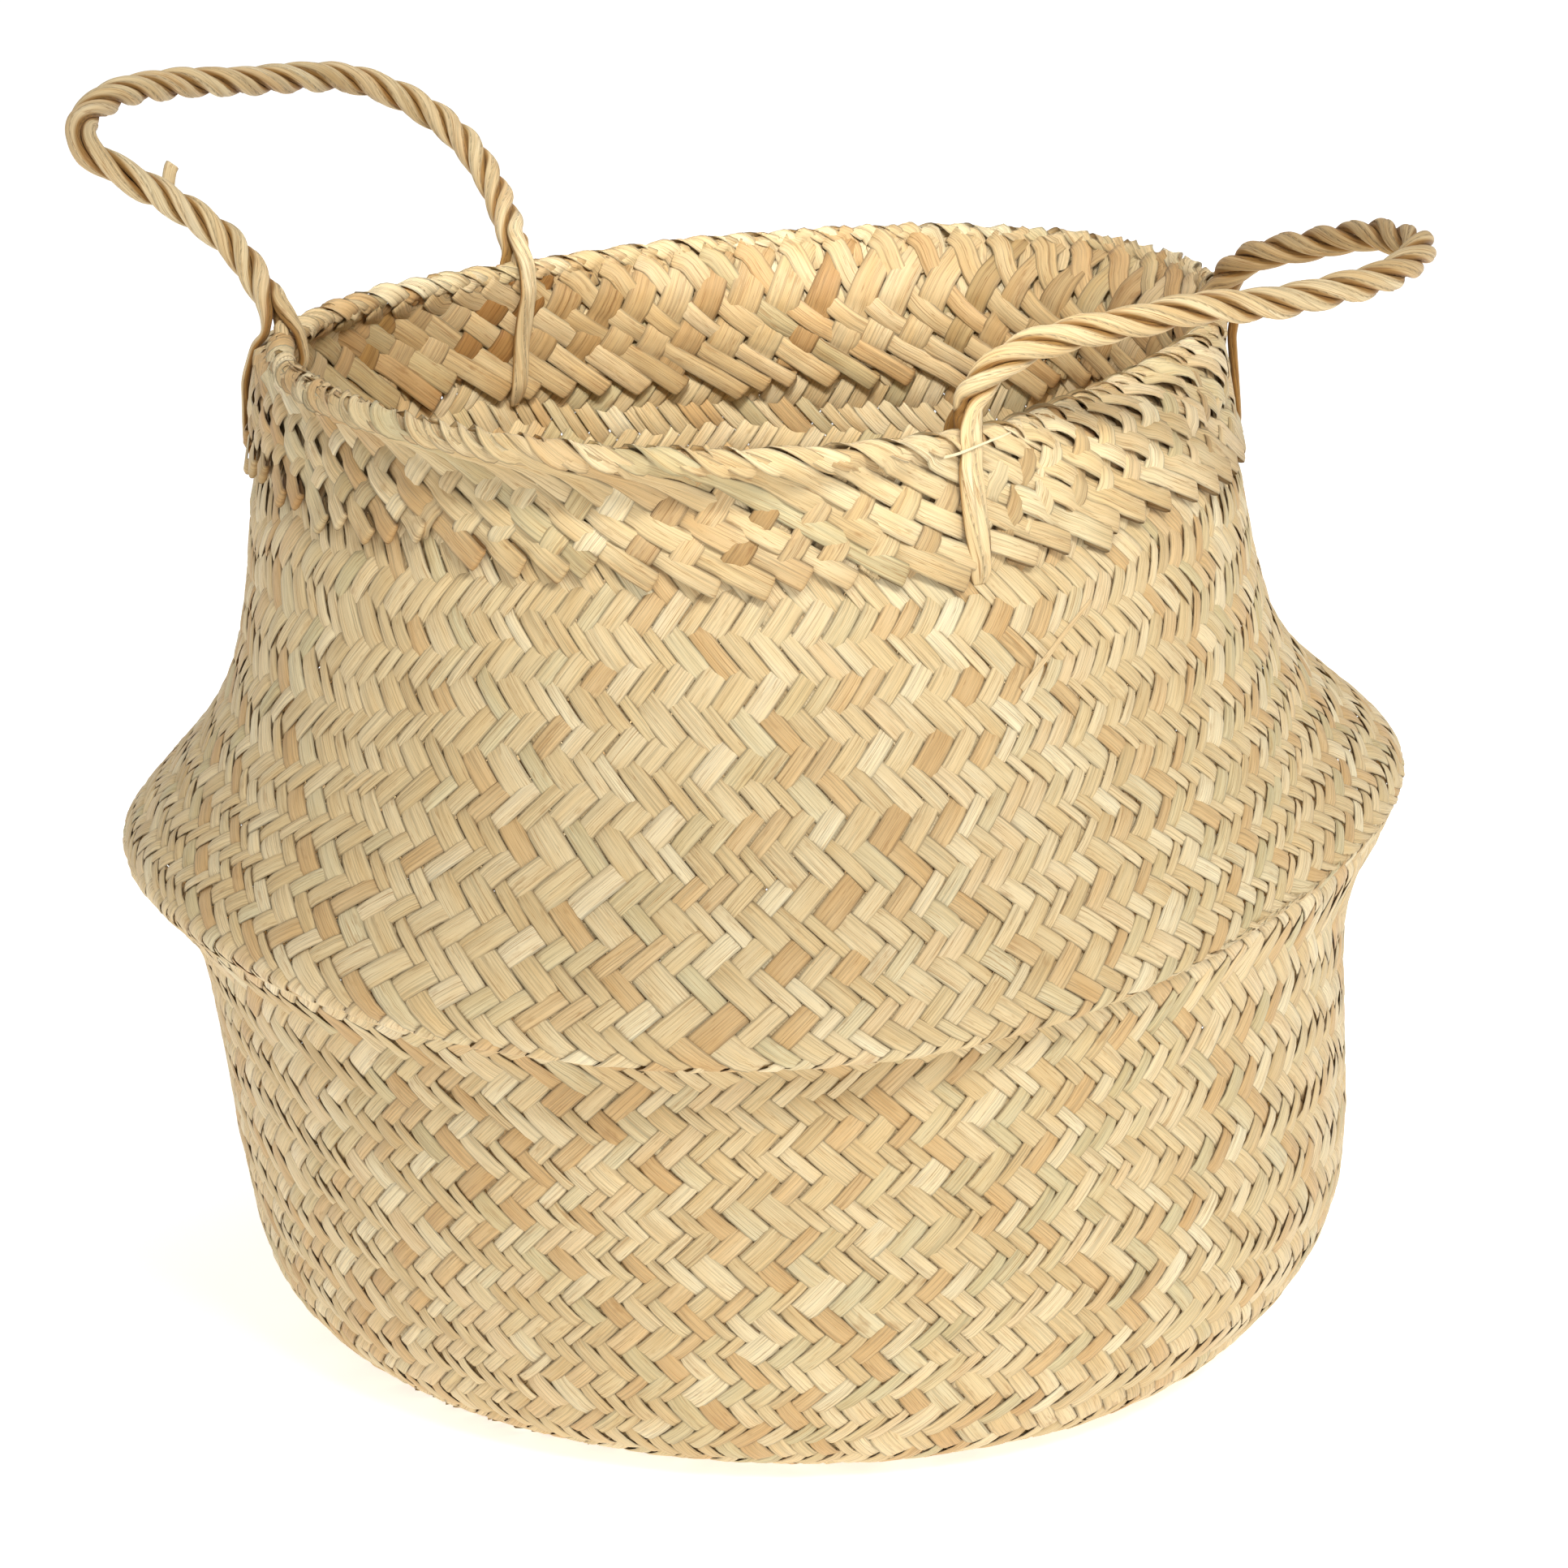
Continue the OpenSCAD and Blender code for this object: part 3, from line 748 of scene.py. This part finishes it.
# %% Rope helpers
LIFT_OF_AXIS = 7                   # height of the bending line above the wall's top edge
LAY_R, ROPE_PITCH = 2.4, 35        # the plies' distance from the rope's middle, and one full turn
LEFT_ENDS, RIGHT_ENDS = (176, 122), (297, 10)
LEFT_LOOP = np.array([
    [-48, 11, 8], [-46, 22, 17], [-51, 36, 27], [-59, 46, 35], [-61, 55, 41],
    [-54, 62, 46], [-35, 66, 50], [-11, 66, 49], [18, 62, 46], [48, 57, 43],
    [62, 50, 38], [71, 40, 30], [72, 29, 22], [66, 16, 12], [58, 6, 4],
], float)
RIGHT_LOOP = np.array([
    [-71, 3, 6], [-65, 9, 13], [-56, 18, 17], [-45, 30, 19], [-31, 43, 21],
    [-17, 54, 20], [2, 66, 21], [17, 72, 22], [37, 71, 24], [48, 61, 23],
    [55, 50, 22], [62, 30, 16], [66, 12, 10],
], float)


def rope_end(degrees):
    return wall_point(RIM, math.radians(degrees), CORE)[0] + [0, 0, LIFT_OF_AXIS]


def handle_axes(ends):
    front, rear = rope_end(ends[0]), rope_end(ends[1])
    middle, line = (front + rear) / 2, unit(rear - front)
    level = unit([line[1], -line[0], 0])
    out = level if level @ middle > 0 else -level
    lift = np.cross(out, line)
    lift = lift if lift[2] > 0 else -lift
    return middle, line, out, lift, np.linalg.norm(rear - front) / 2


def rope_line(ends, loop, spacing=0.6):
    """The rope's centreline as evenly spaced points, and its length up to each."""
    middle, line, out, lift, half = handle_axes(ends)
    route = np.vstack([[-half, 0, 0], loop, [half, 0, 0]])
    q = along(route, np.linspace(0, len(route) - 1, 1500))
    points = middle + q[:, :1] * line + q[:, 1:2] * out + q[:, 2:] * lift
    run = np.concatenate([[0], np.cumsum(np.linalg.norm(np.diff(points, axis=0), axis=1))])
    even = np.linspace(0, run[-1], int(run[-1] / spacing))
    return np.stack([np.interp(even, run, points[:, i]) for i in range(3)], 1), even


def leg_route(degrees, kind):
    """Points of a tucked ply, from just under the rope's end down to its hole."""
    a = math.radians(degrees)
    away = np.array([math.cos(a), math.sin(a), 0])
    top = rope_end(degrees)
    if kind == "outer":
        route = [top + away * 4.2 - [0, 0, 3.6], wall_point(7.86, a, 2.6)[0], wall_point(7.45, a, 2.3)[0],
                 wall_point(7.0, a, 2.2)[0], wall_point(6.72, a, 1.6)[0], wall_point(6.64, a, -1.5)[0]]
        facing = away
    elif kind == "inner":
        route = [top - away * 4.8 - [0, 0, 3.6], top - away * 5.9 - [0, 0, 11], wall_point(7.0, a, -7.3)[0],
                 wall_point(6.74, a, -6.8)[0], wall_point(6.64, a, -3.4)[0]]
        facing = -away
    else:
        across = np.array([-away[1], away[0], 0])
        route = [top - [0, 0, 3.5], top - [0, 0, 7] + across * 0.6, top - [0, 0, 12] + across]
        facing = across
    return np.array(route), facing


print("left rope", round(float(rope_line(LEFT_ENDS, LEFT_LOOP)[1][-1])), "mm, right rope",
      round(float(rope_line(RIGHT_ENDS, RIGHT_LOOP)[1][-1])), "mm")

# %% [markdown]
# ## One ply, from leg to leg
# A ply is one tube. It starts in its front leg, winds along the rope and ends in its rear
# leg. The legs are flat, since those strips are pressed against the band. Which ply
# becomes which leg depends on where it lies when it reaches the rim.

# %% One ply
PLEATS = 4
PLEAT_TURN = 110      # length over which the pleats wind once round the ply
ROUND = 42            # corners round a ply
PLY_SIZE = [1.85, 2.08]            # half thickness and half width of a ply in the rope
LEG_SIZE = {"outer": [1.05, 3.0], "inner": [1.35, 2.3], "between": [1.8, 2.0]}
TRIM = 7              # points left off each end of the rope, where the legs take over
# Painted shade on a ply's sides that face the other plies: it starts this far round from the outer face and
# is full after this much more.
GROOVE_FROM, GROOVE_OVER = math.radians(62), math.radians(28)


def resample(points, extras, spacing):
    run = np.concatenate([[0], np.cumsum(np.linalg.norm(np.diff(points, axis=0), axis=1))])
    even = np.linspace(0, run[-1], max(int(run[-1] / spacing), 8))

    def pick(table):
        return np.stack([np.interp(even, run, table[:, i]) for i in range(table.shape[1])], 1)

    return pick(points), pick(extras), even


def ply_body(points, facing, size, number, darkening):
    """Pleated tube along points; size holds its half thickness and half width."""
    t = tangents(points)
    facing = unit(facing - t * np.sum(facing * t, axis=1)[:, None])
    side = np.cross(t, facing)
    n = len(points)
    run = np.concatenate([[0], np.cumsum(np.linalg.norm(np.diff(points, axis=0), axis=1))])
    corner = np.arange(ROUND) / ROUND * TURN
    twist = run[:, None] / PLEAT_TURN * TURN + number * 9
    phase = (corner[None, :] + twist) / TURN * PLEATS
    pleat = phase % 1.0
    which = np.floor(phase).astype(int) % PLEATS
    depth_of = rng.uniform(0.06, 0.20, PLEATS)
    bulge = 1.04 - depth_of[which] * (pleat ** 3) + 0.03 * np.sin(pleat * math.pi)
    swell = 1 + wander(n, 8, 0.06)[:, None]
    reach = bulge * swell
    offsets = (facing[:, None, :] * (np.cos(corner)[None, :] * reach * size[:, :1])[:, :, None]
               + side[:, None, :] * (np.sin(corner)[None, :] * reach * size[:, 1:])[:, :, None])
    verts = points[:, None, :] + offsets
    hue = rng.uniform(0.02, 0.8) + rng.normal(0, 0.05, PLEATS)
    # Painted shade along each pleat's edge, where it tucks under the next.
    edge = np.clip(0.75 + 0.25 * (pleat - 0.86) / 0.14, 0.75, 1)
    # Painted shade on the ply's sides that face into the rope, where the plies press together; the darkening
    # along the rope is added to it.
    from_face = np.abs(np.mod(corner + math.pi, TURN) - math.pi)
    groove_shade = np.clip((from_face - GROOVE_FROM) / GROOVE_OVER, 0, 1)
    dark = np.interp(run / run[-1], *darkening)[:, None] + groove_shade[None, :]
    across = phase / PLEATS * TURN * 2.1
    marks = np.stack([across, np.repeat(run[:, None], ROUND, 1), hue[which], edge, dark], 2)
    k = np.arange(n - 1)[:, None] * ROUND
    j = np.arange(ROUND)[None, :]
    following = (j + 1) % ROUND
    faces = np.stack([k + j, k + following, k + ROUND + following, k + ROUND + j], 2).reshape(-1, 4)
    fan = np.arange(0, ROUND // 2 - 1)
    near = np.stack([ROUND - 1 - fan, ROUND - 2 - fan, fan + 1, fan], 1)
    far = near[:, ::-1] + (n - 1) * ROUND
    return verts.reshape(-1, 3), marks.reshape(-1, 5), np.vstack([faces, near, far])


def handle_plies(ends, loop, darkening):
    """Three plies, each with the leg that it runs into at each end."""
    centre, run = rope_line(ends, loop)
    t = tangents(centre)
    up = handle_axes(ends)[3]
    side = unit(np.cross(t, up))
    top = np.cross(side, t)
    laid = []
    for start in (0, 1, 2):
        turn = TURN * (start / 3 - run / ROPE_PITCH)
        radial = np.cos(turn)[:, None] * side + np.sin(turn)[:, None] * top
        laid.append(radial)
    kinds = {}
    for end, near_end in ((0, TRIM + 1), (1, -TRIM - 2)):
        a = math.radians(ends[end])
        away = np.array([math.cos(a), math.sin(a), 0])
        score = [float(radial[near_end] @ away) for radial in laid]
        order = np.argsort(score)
        kinds[end] = {int(order[2]): "outer", int(order[0]): "inner", int(order[1]): "between"}
    made = []
    for ply, radial in enumerate(laid):
        body = (centre + LAY_R * radial)[TRIM:-TRIM]
        front, front_facing = leg_route(ends[0], kinds[0][ply])
        rear, rear_facing = leg_route(ends[1], kinds[1][ply])
        front_rows, rear_rows = (len(front), 1), (len(rear), 1)
        points = np.vstack([front[::-1], body, rear])
        facing = np.vstack([
            np.tile(front_facing, front_rows), radial[TRIM:-TRIM], np.tile(rear_facing, rear_rows),
        ])
        sizes = np.vstack([
            np.tile(LEG_SIZE[kinds[0][ply]], front_rows),
            np.tile(PLY_SIZE, (len(body), 1)),
            np.tile(LEG_SIZE[kinds[1][ply]], rear_rows),
        ])
        points, extras, even = resample(points, np.hstack([facing, sizes]), 0.8)
        points = smooth(points, 6)
        extras = smooth(extras, 10)
        taper = np.interp(even, [0, 3, even[-1] - 3, even[-1]], [0.6, 1, 1, 0.6])[:, None]
        made.append(ply_body(points, extras[:, :3], extras[:, 3:] * taper, ply + 1.0, darkening))
    return made, kinds


# %% [markdown]
# ## Lay the ropes
# Each rope is laid as three plies, each one piece with its two legs. The right rope is
# browner towards its rear end.

# %% Lay the ropes
END_WORDS = {0: "front", 1: "rear"}
ROPE_DARKENING = {                        # how much darker and browner the rope is coloured, from front to rear
    "left": ([0, 1], [0.1, 0.2]),
    "right": ([0, 0.5, 0.6, 1], [0, 0.1, 0.4, 0.6]),
}
for word, ends, loop in (("left", LEFT_ENDS, LEFT_LOOP), ("right", RIGHT_ENDS, RIGHT_LOOP)):
    middle, line, out, lift, half = handle_axes(ends)
    plies, kinds = handle_plies(ends, loop, ROPE_DARKENING[word])
    for ply, (part, letter) in enumerate(zip(plies, "abc")):
        piece = build_mesh(f"{word}_rope_ply_{letter}", [part], rope_straw, sharp_edges=False)
        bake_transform(piece)
        kind_at = {end: kinds[end][ply] for end in (0, 1)}
        legs = [f"{word}_{END_WORDS[end]}_leg_{kind}" for end, kind in kind_at.items() if kind != "between"]
        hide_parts(f"{word}_handle_ply_{letter}", *legs)

# %% [markdown]
# ## Loose ends
# A few ends always spring free: a stub on the left rope, a sliver on the neck and a pale
# thread across the right rope's front end. The stub's line is measured from the left
# handle's bending line, the sliver's on the wall, and the thread's from the rope's end.

# %% Loose ends
def small_strip(name, route, half, thick, number, facing, material, tip=0.7):
    points = along(np.array(route, float), np.linspace(0, len(route) - 1, 6 * len(route)))
    n = len(points)
    width = np.full(n, half) * np.interp(np.arange(n), [0, n - 1], [1, tip])
    part = strip(points, np.tile(facing, (n, 1)), width, thick, 0.06, number)
    return build_mesh(name, [part], material)


STUB_LINE = [(-51.5, 37, 28), (-48.6, 38.8, 31.6), (-46.2, 40, 34), (-44.4, 40.6, 35)]
SLIVER_LINE = [(6.25, 299.5, 0.2), (6.33, 302.5, 1.6), (6.42, 306, 3.0), (6.5, 309.5, 4.5)]
THREAD_LINE = [(-9.3, -9, -9.2), (-2, -7.5, -8.2), (4.5, -5, -6.2), (11.4, -0.5, -4.4)]

middle, line, out, lift, half = handle_axes(LEFT_ENDS)
stub_route = [middle + q[0] * line + q[1] * out + q[2] * lift for q in STUB_LINE]
stub = small_strip("left_rope_stub", stub_route, 2.0, 1.0, 0.35, unit(out - lift), rope_straw, tip=0.95)
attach(stub, "left_handle")
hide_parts("left_handle_stub")

sliver_route = [wall_point(v, math.radians(a), depth)[0] for v, a, depth in SLIVER_LINE]
sliver_facing = wall_normal(6.4, math.radians(303))[0]
sliver = small_strip("neck_sliver", sliver_route, 0.8, 0.3, 0.83, sliver_facing, wall_straw)
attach(sliver, "collar")
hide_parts("loose_sliver")

thread_route = [rope_end(RIGHT_ENDS[0]) + offset for offset in THREAD_LINE]
thread = small_strip("right_front_thread", thread_route, 0.42, 0.34, 0.0, unit([0.3, -0.9, 0.3]), wall_straw)
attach(thread, "collar")
